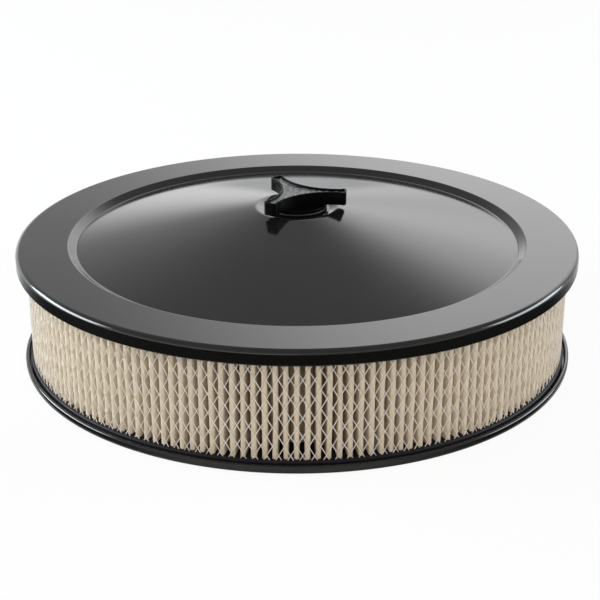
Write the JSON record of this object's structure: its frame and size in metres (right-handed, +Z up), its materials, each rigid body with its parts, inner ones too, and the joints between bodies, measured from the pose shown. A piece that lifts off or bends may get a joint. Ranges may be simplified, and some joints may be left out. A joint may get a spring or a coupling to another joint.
{
  "type": "carburetor air cleaner",
  "caption": "Round drop-on engine air cleaner: black stamped lid and base pan around a pleated paper element with mesh screens, clamped by a centre stud and a three-arm nut.",
  "frame": {"origin": "centre of the underside of the base pan, on the surface that it stands on", "axes": "+Z up along the centre line through the stud and nut; -Y faces the picture's camera"},
  "size_m": [0.3556, 0.3556, 0.105],
  "materials": {
    "black_paint": "satin",
    "filter_paper": "matte",
    "screen_metal": "satin",
    "moulded_seal": "satin",
    "gasket_rubber": "matte",
    "black_plastic": "grained with a smooth rim",
    "washer_steel": "dull",
    "insert_brass": "plain",
    "stud_steel": "bright zinc"
  },
  "bodies": {
    "base": {"base_pan": "black_paint", "neck_gasket": "gasket_rubber"},
    "filter": {"pleated_paper": "filter_paper", "outer_screen": "screen_metal", "inner_screen": "screen_metal", "upper_seal": "moulded_seal", "lower_seal": "moulded_seal"},
    "lid": {"lid": "black_paint", "rubber_washer": "gasket_rubber", "steel_washer": "washer_steel"},
    "knob": {"knob": "black_plastic", "knob_insert": "insert_brass"},
    "stud": {"stud": "stud_steel"}
  },
  "joints": [
    {"name": "filter_lift", "type": "slide", "parent": "base", "child": "filter", "axis": [0, 0, 1], "range_m": [0, 0.03]},
    {"name": "lid_lift", "type": "slide", "parent": "filter", "child": "lid", "axis": [0, 0, 1], "range_m": [0, 0.09]},
    {"name": "knob_turn", "type": "hinge", "parent": "lid", "child": "knob", "pos_m": [0, 0, 0.1], "axis": [0, 0, 1], "range_deg": [0, 1440]},
    {"name": "stud_travel", "type": "slide", "parent": "lid", "child": "stud", "axis": [0, 0, 1], "range_m": [-0.00509, 0]}
  ],
  "couplings": [
    {"joint": "stud_travel", "follows": "knob_turn", "m_per_rad": -0.00020213}
  ]
}
